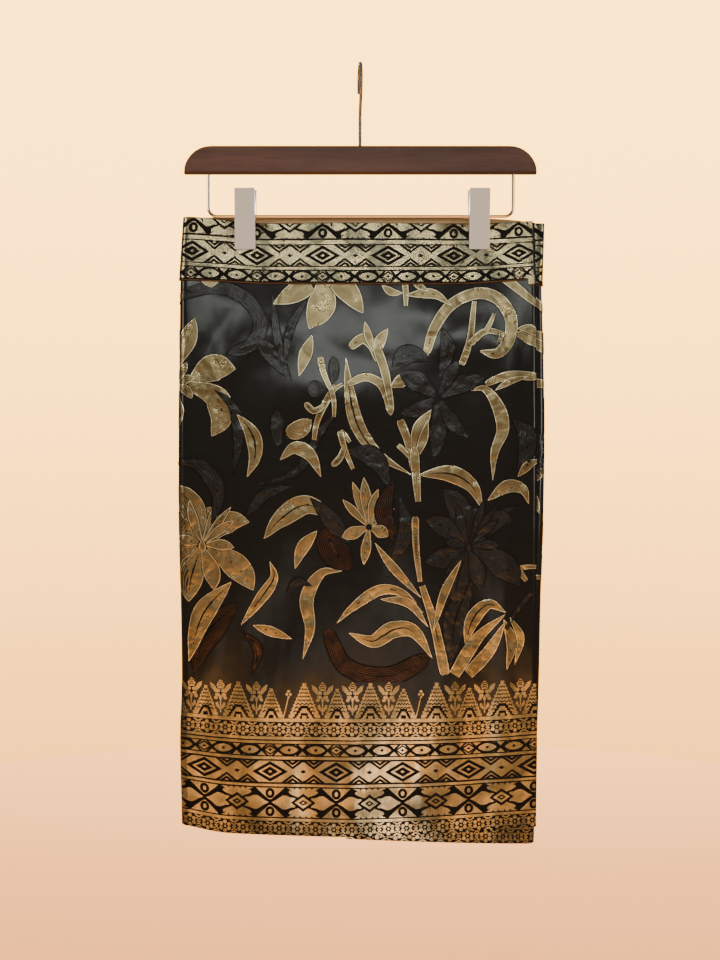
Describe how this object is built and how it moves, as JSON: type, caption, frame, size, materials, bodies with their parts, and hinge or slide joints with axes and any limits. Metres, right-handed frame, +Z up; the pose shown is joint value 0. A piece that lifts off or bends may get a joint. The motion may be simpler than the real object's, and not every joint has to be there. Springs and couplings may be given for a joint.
{
  "type": "sampin on clip hanger",
  "caption": "Short wrapped hip cloth in black satin with woven gold flowers and borders, held flat by the clips of a wooden hanger.",
  "frame": {"origin": "inside of the hook's top, where the hook rests on its rail", "axes": "+Z up, front of the cloth faces -Y, +X is the viewer's right"},
  "size_m": [0.3968, 0.0431, 0.8436],
  "materials": {
    "satin": "black satin weave, soft sheen",
    "gold_weave": "metallic gold supplementary weft on black",
    "facing": "plain matt tan facing",
    "wood": "walnut-stained, satin lacquer",
    "wire": "polished nickel-plated wire",
    "clip_plate": "satin nickel-plated sheet"
  },
  "bodies": {
    "root": {"body_front": "satin", "body_back": "satin", "body_underlap": "satin", "waistband_front": "gold_weave", "waistband_back": "gold_weave", "waistband_underlap": "gold_weave", "waistband_facing": "facing", "hanger_bar": "wood", "hanger_hook": "wire", "hanger_wire": "wire", "clip_left_front": "clip_plate", "clip_left_back": "clip_plate", "clip_left_spring": "wire", "clip_right_front": "clip_plate", "clip_right_back": "clip_plate", "clip_right_spring": "wire"}
  },
  "joints": []
}
